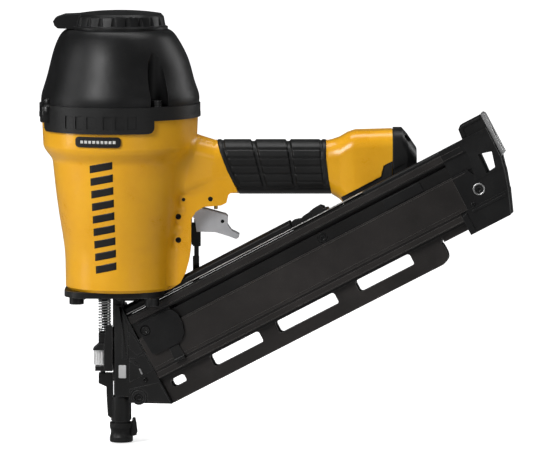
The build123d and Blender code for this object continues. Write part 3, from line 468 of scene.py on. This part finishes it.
def grip_section():
    """(Y, Z, normal Y, normal Z) evenly round the section, from the top by the near side."""
    half_y, half_z = GRIP_WIDTH / 2 - GRIP_RADIUS, GRIP_HEIGHT / 2 - GRIP_RADIUS
    top = (0.0, GRIP_HEIGHT / 2, 0.0, 1.0)
    corners = [(-half_y, half_z, 90), (-half_y, -half_z, 180), (half_y, -half_z, 270),
               (half_y, half_z, 0)]
    raw = [top]
    for y, z, start in corners:
        for k in range(25):
            a = math.radians(start + 90 * k / 24)
            c, s = math.cos(a), math.sin(a)
            raw.append((y + GRIP_RADIUS * c, z + GRIP_RADIUS * s, c, s))
    raw.append(top)
    lengths = [0.0]
    for p, q in zip(raw, raw[1:]):
        lengths.append(lengths[-1] + math.hypot(q[0] - p[0], q[1] - p[1]))
    points, j = [], 0
    for i in range(GRIP_SIDES):
        t = lengths[-1] * i / GRIP_SIDES
        while lengths[j + 1] < t:
            j += 1
        f = (t - lengths[j]) / max(lengths[j + 1] - lengths[j], 1e-9)
        points.append([a + (b - a) * f for a, b in zip(raw[j], raw[j + 1])])
    return points


def groove(distance, half, soft):
    """1 in the middle of a groove, 0 outside it."""
    return smoothstep((half + soft - abs(distance)) / (2 * soft))


def grip_relief(x, z, front, rear):
    """Height of the pattern, zero or below."""
    ribs = max(groove(z - LOWEST_RIB_Z - RIB_PITCH * k, 0.55, 0.45) for k in range(RIB_COUNT))
    slants = max(groove(x - (at + (SLANT_TOP - z) * run), 1.7, 0.8) for at, run in SLANTS)
    rims = max(groove(x - front - RIM_INSET, 0.9, 0.6), groove(rear - RIM_INSET - x, 0.9, 0.6))
    inside = front + RIM_INSET < x < rear - RIM_INSET and z > LOWEST_RIB_Z
    height = -1.15 * ribs * inside
    height -= 1.5 * slants * (1.0 if z > 214.5 else max(0.0, (z - 211.0) / 3.5))
    height -= 0.8 * rims * (z > 214)
    height -= 0.5 * groove(z - 212.0, 0.5, 0.5)
    return max(height, -1.6)


def build_grip():
    n = GRIP_SIDES
    ring = []
    for y, dz, ny, nz in grip_section():
        z = GRIP_Z + dz
        ring.append((y, z, ny, nz, table_at(GRIP_FRONT, z), table_at(GRIP_REAR, z)))
    verts, faces = [], []
    for i in range(GRIP_STEPS + 1):
        for y, z, ny, nz, front, rear in ring:
            x = front + 0.1 + (rear - front - 0.2) * (i / GRIP_STEPS)
            to_end = min(x - front, rear - x)
            end_drop = -0.55 * max(0.0, 1 - to_end / 0.7) ** 2
            out = grip_relief(x, z, front, rear) + GRIP_PROUD + end_drop
            verts.append(Vector((x, y + ny * out, z + nz * out)) * MM)
    for i in range(GRIP_STEPS):
        for j in range(n):
            a, b = i * n + j, i * n + (j + 1) % n
            faces.append((a, b, b + n, a + n))
    # Turn the ends in to the handle.
    for i in (0, GRIP_STEPS):
        start = len(verts)
        for y, z, ny, nz, front, rear in ring:
            x = front if i == 0 else rear
            verts.append(Vector((x, y - ny * GRIP_TUCK, z - nz * GRIP_TUCK)) * MM)
        for j in range(n):
            a, b = i * n + j, i * n + (j + 1) % n
            c, d = start + j, start + (j + 1) % n
            faces.append((c, d, b, a) if i == 0 else (a, b, d, c))
    grip = make("grip_rubber", verts, faces, "rubber", replaces="grip_sleeve")
    grip.modifiers.new("normals", "WEIGHTED_NORMAL").keep_sharp = False


build_grip()


# ------------------------------------------------------------------ printed marks
def tree_of(name):
    mesh = PARTS[name].data
    return BVHTree.FromPolygons([v.co.copy() for v in mesh.vertices],
                                [tuple(p.vertices) for p in mesh.polygons])


def near_hit(tree, x, z, start_y):
    """Point and normal where a ray from the near side first meets the surface."""
    return tree.ray_cast(Vector((x, start_y, z)) * MM, Vector((0, 1, 0)))[:2]


def project_quad(tree, quad, steps):
    """Rows of hits under a quad of (X, Z) corners, or None if any ray misses."""
    a, b, c, d = [Vector(p) for p in quad]
    rows = []
    for i in range(steps + 1):
        row = []
        for j in range(steps + 1):
            s, t = i / steps, j / steps
            p = (a * (1 - s) + b * s) * (1 - t) + (d * (1 - s) + c * s) * t
            hit = near_hit(tree, p.x, p.y, -120)
            if hit[0] is None:
                return None
            row.append(hit)
        rows.append(row)
    return rows


def print_marks(name, quads, finish, tree, height, steps):
    """Quads laid on a surface as thin raised ink, sunk a little below it."""
    verts, faces = [], []
    row_len = steps + 1
    drop = row_len * row_len
    for quad in quads:
        rows = project_quad(tree, quad, steps)
        if rows is None:
            continue
        base = len(verts)
        for layer in (height, -0.3):
            verts += [point + normal * layer * MM for row in rows for point, normal in row]
        for i in range(steps):
            for j in range(steps):
                q = base + i * row_len + j
                faces.append((q, q + row_len, q + row_len + 1, q + 1))
        end = base + steps * row_len
        for i in range(steps):
            left = base + i * row_len
            for p, q in ((base + i, base + i + 1), (end + i + 1, end + i),
                         (left + row_len, left), (left + steps, left + row_len + steps)):
                faces.append((p, q, q + drop, p + drop))
    make(name, verts, faces, finish)


HOUSING = tree_of("main_housing")

BAR_HALF_HEIGHT, BAR_SLANT = 3.1, 1.9
bars = []
for k in range(9):
    x, z, half = -13.4 + k * 0.42, 232.0 - k * 10.35, 9.2 - 0.10 * k
    bars.append(((x - half, z - BAR_HALF_HEIGHT - BAR_SLANT),
                 (x + half, z - BAR_HALF_HEIGHT + BAR_SLANT),
                 (x + half, z + BAR_HALF_HEIGHT + BAR_SLANT),
                 (x - half, z + BAR_HALF_HEIGHT - BAR_SLANT)))
print_marks("side_bars", bars, "print_black", HOUSING, height=0.19, steps=8)


def rectangle(x0, y0, x1, y1):
    return [(x0, y0), (x1, y0), (x1, y1), (x0, y1)]


DASH_ROW_X, DASH_PITCH, DASH_HALF = -15.4, 3.3, 1.15
dashes = []
for k in range(-4, 5):
    x = DASH_ROW_X + k * DASH_PITCH
    dashes.append(rectangle(x - DASH_HALF, 251.9, x + DASH_HALF, 254.3))
print_marks("badge_marks", dashes, "print_white", tree_of("badge"), height=0.08, steps=3)

# ------------------------------------------------------------------ nose casting, near side
# Name, span along NEAR, finish, slot, corner radius, edge width, (back, Z) outline
NOSE_PLATES = [
    ("nose_rail_upper", (11.8, 13.1), "black_metal", "black_metal", 0.8, 0.35,
     [(3.4, 70.2), (3.4, 113.4), (1.0, 113.4), (8.4, 98.0), (8.0, 70.2)]),
    ("nose_web_upper", (11.9, 12.9), "black_metal", "black_metal", 1.0, 0.35,
     [(9.0, 93.2), (13.2, 90.0), (20.4, 76.6), (16.0, 73.6), (9.0, 79.2)]),
    ("nose_web_lower", (11.9, 12.8), "black_metal", "black_metal", 1.0, 0.35,
     [(9.4, 71.4), (15.0, 71.2), (21.6, 74.8), (29.0, 61.4), (20.6, 56.6), (9.4, 51.0)]),
    ("nose_hook_slot", (12.0, 13.5), "black_metal", "black_metal", 0.5, 0.25,
     [(9.8, 69.2), (14.6, 68.9), (16.0, 66.6), (18.6, 66.0), (18.2, 64.4), (14.4, 65.2),
      (13.0, 67.2), (9.8, 67.6)]),
    ("nose_staple", (12.2, 13.6), "bright_screw", "steel", 0.5, 0.3,
     [(17.4, 62.6), (18.9, 62.9), (20.9, 58.2), (19.5, 57.8)]),
    ("nose_lower_web", (11.9, 12.9), "black_metal", "black_metal", 0.8, 0.35,
     [(24.6, 35.2), (43.4, 35.2), (34.2, 51.6), (9.6, 45.6), (9.6, 41.0), (13.0, 45.2),
      (19.4, 46.2), (24.4, 42.4)]),
]
for name, span, finish, slot, corner, edge, outline in NOSE_PLATES:
    plate(name, outline, span, upright_point, finish, corner=corner, edge=edge)

DOWEL_PROFILE = [(0.0, -1.0), (2.1, -1.0), (2.1, 0.9), (1.7, 1.25), (0.9, 1.25), (0.8, 0.2),
                 (0.0, 0.2)]
lathe("nose_dowel", DOWEL_PROFILE, upright_point(22.6, 53.4, 12.3), NEAR)


# ------------------------------------------------------------------ springs
def coil(name, replaces, x, bottom, top, radius, wire, turns):
    """Spring with closed ends, wound from its bottom to its top."""
    sides, steps_per_turn = 12, 36
    steps = int(turns * steps_per_turn)
    closed = 1.25
    closed_pitch = 2.06 * wire
    rise = top - bottom - 2 * wire
    open_start, open_end = closed_pitch * closed, rise - closed_pitch * closed
    verts, faces = [], []
    for i in range(steps + 1):
        t = i / steps_per_turn
        if t < closed:
            z = closed_pitch * t
        elif t > turns - closed:
            z = rise - closed_pitch * (turns - t)
        else:
            z = open_start + (open_end - open_start) * (t - closed) / (turns - 2 * closed)
        angle = 2 * math.pi * t
        out = Vector((math.cos(angle), math.sin(angle), 0))
        centre = Vector((x + radius * math.cos(angle), radius * math.sin(angle),
                         bottom + wire + z))
        for k in range(sides):
            q = 2 * math.pi * k / sides
            rim = out * (wire * math.cos(q)) + Vector((0, 0, 1)) * (wire * math.sin(q))
            verts.append((centre + rim) * MM)
    for i in range(steps):
        for k in range(sides):
            a, b = i * sides + k, i * sides + (k + 1) % sides
            faces.append((a, b, b + sides, a + sides))
    faces.append(tuple(range(sides - 1, -1, -1)))
    faces.append(tuple(range(steps * sides, steps * sides + sides)))
    spring = make(name, verts, faces, "chromed", replaces=replaces)
    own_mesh(spring)


# The wire size is its radius.
coil("contact_return_spring", "contact_spring", x=-13.3, bottom=91.1, top=118.4, radius=4.75,
     wire=0.62, turns=12.5)
coil("head_return_spring", "head_valve_spring", x=0.0, bottom=268.1, top=291.7, radius=34.4,
     wire=1.1, turns=5.5)

# Hold-down bolt and its lug at the front of the cap
BOLT_PROFILE = [(0.0, -13.6), (5.8, -13.6), (6.6, -12.6), (6.6, -0.8), (6.0, 0.0), (5.3, 0.1),
                (5.1, 1.2), (4.6, 1.4), (4.6, 5.0), (4.0, 5.8), (2.4, 5.8), (2.3, 3.8),
                (0.0, 3.8)]
lathe("cap_front_bolt", BOLT_PROFILE, Vector((-57.4, -29.0, 280.4)) * MM, (0, 0, 1))

# ------------------------------------------------------------------ magazine
# Fine beads along the extrusion: name, across from and to, near from and to, rear end
BEAD_FRONT = 9.2
BEADS = [
    ("rail_top", -1.75, -1.25, 10.2, 10.75, 318.0),
    ("rail_low", -6.3, -5.7, 10.2, 10.8, 318.0),
    ("panel_top", -22.6, -21.9, 12.0, 12.55, 312.0),
    ("panel_low", -47.5, -46.9, 12.0, 12.55, 296.0),
    ("slide_low", -56.4, -55.7, 12.8, 13.35, 292.6),
]
for name, low, high, foot, crest, rear in BEADS:
    width = high - low
    profile = [(0.0, foot), (0.04, crest - 0.12), (0.14, crest), (width - 0.14, crest),
               (width - 0.04, crest - 0.12), (width, foot)]
    verts = [mag_point(u, low + dy, near) for u in (BEAD_FRONT, rear) for dy, near in profile]
    k = len(profile)
    faces = [(i, i + 1, i + 1 + k, i + k) for i in range(k - 1)]
    faces += [tuple(range(k - 1, -1, -1)), tuple(range(k, 2 * k))]
    make("mag_bead_" + name, verts, faces, "mag_black", smooth=False)

SIDES = (("near", 1), ("far", -1))


def side_span(sign, inner, outer):
    return sorted((inner * sign, outer * sign))


# Spacers under the track strip: name, front, rear, top
for name, front, rear, top in (("front", 9.0, 165.0, 0.15), ("middle", 165.0, 208.0, 0.68),
                               ("rear", 208.0, 229.4, 0.15)):
    for side, sign in SIDES:
        plate(f"mag_spacer_{name}_{side}", rectangle(front, -1.0, rear, top),
              side_span(sign, 4.7, 9.3), mag_point, "mag_black", edge=0.15)

# Fillers between channel and rear cap
for side, sign in SIDES:
    plate("mag_shoe_filler_" + side, rectangle(292.7, -52.6, 301.2, -49.3),
          side_span(sign, 3.1, 10.6), mag_point, "black_plastic", edge=0.2)
    plate("rear_notch_filler_" + side, rectangle(312.5, -31.8, 322.5, -18.5),
          side_span(sign, 3.1, 8.2), mag_point, "black_plastic", edge=0.2)

# Rounded tail of the slotted flange, in two halves beside the nail track
FLANGE_TAIL = [(250, -80.45), (250, -60), (264.5, -60), (266.8, -62.5), (268, -67),
               (268, -73.5), (266.5, -77.8), (261.5, -80.45)]
for side, sign in SIDES:
    plate("mag_flange_tail_" + side, FLANGE_TAIL, side_span(sign, 2.5, 6.27), mag_point,
          "mag_black", corner=2.0, edge=0.35)

FOOT_OUTLINE = [(255.6, 12.65), (259.5, 12.65), (252.9, 0.0), (250.3, -5.0), (247.8, -5.0)]
plate("foot_filler", FOOT_OUTLINE, (-14.45, -12.35), mag_point, "black_metal", edge=0.2)

LATCH_OUTLINE = [(165.0, 2.75), (165.0, 6.2), (167.2, 7.8), (170.4, 6.9), (173.6, 5.9),
                 (177.2, 7.2), (182.6, 7.6), (184.0, 6.6), (184.0, 2.75)]
plate("mag_latch_skin", LATCH_OUTLINE, (-6.4, 6.4), mag_point, "black_plastic", body="latch",
      corner=0.6, edge=0.5)

# Ribs on the rear cap: name, span along NEAR, corner radius, edge width, (along, across)
REAR_RIBS = [
    ("rear_shoe_rib", (13.2, 14.1), 0.5, 0.3,
     [(303.0, -51.6), (333.6, -51.6), (333.0, -53.6), (303.0, -53.6)]),
    ("rear_shoe_front", (13.2, 14.3), 0.6, 0.4,
     [(293.6, -52.9), (298.4, -51.4), (298.4, -68.4), (293.6, -68.4)]),
    ("rear_block_rib", (8.8, 9.7), 0.5, 0.3,
     [(323.4, 4.0), (324.2, 11.0), (326.4, 12.8), (342.6, 12.8), (342.6, 10.6),
      (327.0, 10.6), (325.8, 4.0)]),
]
for name, span, corner, edge, outline in REAR_RIBS:
    plate(name, outline, span, mag_point, "black_plastic", corner=corner, edge=edge)

RING_PROFILE = [(3.75, -0.6), (5.0, -0.6), (5.0, 0.55), (4.7, 0.9), (3.9, 0.9), (3.75, 0.7)]
lathe("rear_screw_ring", RING_PROFILE, mag_point(316, -38.9, 12.2), NEAR,
      finish="bright_screw", ring=True)

# ------------------------------------------------------------------ cast fillet
# A skin where the barrel runs into the web and the handle's root
FILLET_XS = [22.0 + i * 1.0 for i in range(84)]
FILLET_ZS = [132.0 + i * 1.6 for i in range(86)]
FILLET_HOLES = [(48.0, 187.0), (48.2, 168.0), (52.3, 202.5), (74.3, 203.0)]   # (X, Z)
SKIN = 0.10             # thickness added everywhere


def housing_depth(x, z):
    """Y of the housing's near surface, or None where it is missed or too far in."""
    point = near_hit(HOUSING, x, z, -140)[0]
    if point is None or point.y / MM >= -3.5:
        return None
    return point.y / MM


def smooth_rows(rows, sigma):
    """Gaussian blur along each row; gaps stay gaps. Sigma is in samples."""
    reach = int(sigma * 2.5)
    offsets = range(-reach, reach + 1)
    weights = [math.exp(-0.5 * (i / sigma) ** 2) for i in offsets]
    smoothed = []
    for row in rows:
        blurred = []
        for i, own in enumerate(row):
            if own is None:
                blurred.append(None)
                continue
            total = value_sum = 0.0
            for offset, weight in zip(offsets, weights):
                q = i + offset
                value = row[q] if 0 <= q < len(row) and row[q] is not None else own
                total += weight
                value_sum += weight * value
            blurred.append(value_sum / total)
        smoothed.append(blurred)
    return smoothed


def transpose(rows):
    return [list(column) for column in zip(*rows)]


def cast_fillet():
    depth = [[housing_depth(x, z) for x in FILLET_XS] for z in FILLET_ZS]
    blurred = transpose(smooth_rows(transpose(smooth_rows(depth, 4.2)), 2.0))
    # index and lift are keyed by (column, row); open_cells holds those clear of the holes.
    verts, index, lift, open_cells = [], {}, {}, set()
    for j, z in enumerate(FILLET_ZS):
        for i, x in enumerate(FILLET_XS):
            y = depth[j][i]
            if y is None:
                continue
            gap = min(math.hypot(x - hole_x, z - hole_z) for hole_x, hole_z in FILLET_HOLES)
            if gap > 2.9:
                open_cells.add((i, j))
            fade = smoothstep((gap - 3.2) / 4.5)
            delta = blurred[j][i] - y
            offset = max(delta, -3.2) * fade if delta < 0 else min(delta, 0.5)
            offset += (1 - fade) * 0.25
            lift[i, j] = offset + SKIN
            index[i, j] = len(verts)
            verts.append(Vector((x, y + offset + SKIN, z)) * MM)
    faces = []
    for j in range(len(FILLET_ZS) - 1):
        for i in range(len(FILLET_XS) - 1):
            cells = [(i, j), (i + 1, j), (i + 1, j + 1), (i, j + 1)]
            if not open_cells.issuperset(cells) or min(lift[c] for c in cells) > -0.02:
                continue
            depths = [depth[row][column] for column, row in cells]
            if max(depths) - min(depths) <= 9:
                faces.append(tuple(index[c] for c in cells))
    make("cast_fillet", verts, faces, "yellow")


cast_fillet()

# ------------------------------------------------------------------ floor (metres)
FLOOR_GREY = rgba(0.86)
FLOOR_Z = -0.0009
SWEEP_Y, SWEEP_RADIUS = 4.4, 1.2


def floor_material():
    """Floor that glows to the camera, more so farther out, and is darker to other rays."""
    material, tree, shader = new_material("stage_floor")
    set_inputs(tree, shader, {
        "Base Color": FLOOR_GREY, "Roughness": 0.9, "Specular IOR Level": 0.1,
        "Emission Color": rgba(1)})
    camera_ray = node(tree, "LightPath").outputs["Is Camera Ray"]
    position = node(tree, "NewGeometry").outputs["Position"]
    distance = node(tree, "VectorMath", {0: position}, operation="LENGTH").outputs["Value"]
    glow = node(tree, "MapRange", {"Value": distance, "From Min": 0.5, "From Max": 2.6,
                                   "To Min": 0.66, "To Max": 1.1}).outputs["Result"]
    set_inputs(tree, shader, {
        "Emission Strength": calc(tree, "MULTIPLY", camera_ray, glow),
        "Base Color": mix(tree, camera_ray, rgba(0.42), FLOOR_GREY)})
    return material


def build_floor():
    """Floor swept up into a rear wall."""
    material = floor_material()
    profile = [(-9.0, FLOOR_Z), (SWEEP_Y, FLOOR_Z)]
    for degrees in range(9, 91, 9):
        a = math.radians(degrees)
        profile.append((SWEEP_Y + SWEEP_RADIUS * math.sin(a),
                        FLOOR_Z + SWEEP_RADIUS * (1 - math.cos(a))))
    profile.append((SWEEP_Y + SWEEP_RADIUS, 9.0))
    verts = [(x, y, z) for y, z in profile for x in (-14, 14)]
    faces = [(i, i + 1, i + 3, i + 2) for i in range(0, 2 * len(profile) - 2, 2)]
    mesh = bpy.data.meshes.new("stage_floor")
    mesh.from_pydata(verts, [], faces)
    mesh.materials.append(material)
    for polygon in mesh.polygons:
        polygon.use_smooth = True
    floor = bpy.data.objects.new("stage_floor", mesh)
    bpy.context.scene.collection.objects.link(floor)


build_floor()

# ------------------------------------------------------------------ lights (metres, watts)
LIGHT_TARGET = Vector((0.12, 0, 0.18))
# Name, place, (width, height), power
LIGHTS = [
    ("key", (-0.95, -1.35, 1.15), (0.6, 0.8), 23),
    ("left_strip", (-1.5, -0.35, 0.35), (0.3, 1.7), 9),
    ("fill", (1.1, -1.9, 0.35), (0.8, 1.2), 4.2),
    ("top", (0.15, 0.1, 1.7), (1.5, 0.6), 13),
    ("rim", (1.5, 0.7, 0.8), (0.5, 1.2), 8),
]
for name, place, size, power in LIGHTS:
    data = bpy.data.lights.new(name, "AREA")
    data.shape = "RECTANGLE"
    data.size, data.size_y = size
    data.energy = power
    light = bpy.data.objects.new(name, data)
    bpy.context.scene.collection.objects.link(light)
    light.location = place
    light.rotation_euler = (LIGHT_TARGET - Vector(place)).to_track_quat("-Z", "Y").to_euler()

scene = bpy.context.scene
world = bpy.data.worlds.new("studio")
world.use_nodes = True
background = world.node_tree.nodes["Background"]
background.inputs["Color"].default_value = (0.95, 0.97, 1.0, 1)
background.inputs["Strength"].default_value = 0.11
scene.world = world
scene.view_settings.view_transform = "Standard"
scene.view_settings.look = "None"
scene.view_settings.exposure = 0.0

# ------------------------------------------------------------------ camera
CAMERA_RISE = math.radians(6.0)
CAMERA_DISTANCE = 3.2       # metres
SENSOR_WIDTH = 36
VIEW_WIDTH = 451.0          # width seen at the target
camera_data = bpy.data.cameras.new("camera")
camera_data.sensor_width = SENSOR_WIDTH
camera_data.lens = SENSOR_WIDTH * CAMERA_DISTANCE * 1000 / VIEW_WIDTH
camera_data.clip_end = 50
camera = bpy.data.objects.new("camera", camera_data)
scene.collection.objects.link(camera)
target = Vector((127.1, -10, 180.8)) * MM
sight = Vector((0, -math.cos(CAMERA_RISE), math.sin(CAMERA_RISE)))
camera.location = target + sight * CAMERA_DISTANCE
camera.rotation_euler = (target - camera.location).to_track_quat("-Z", "Y").to_euler()
scene.camera = camera
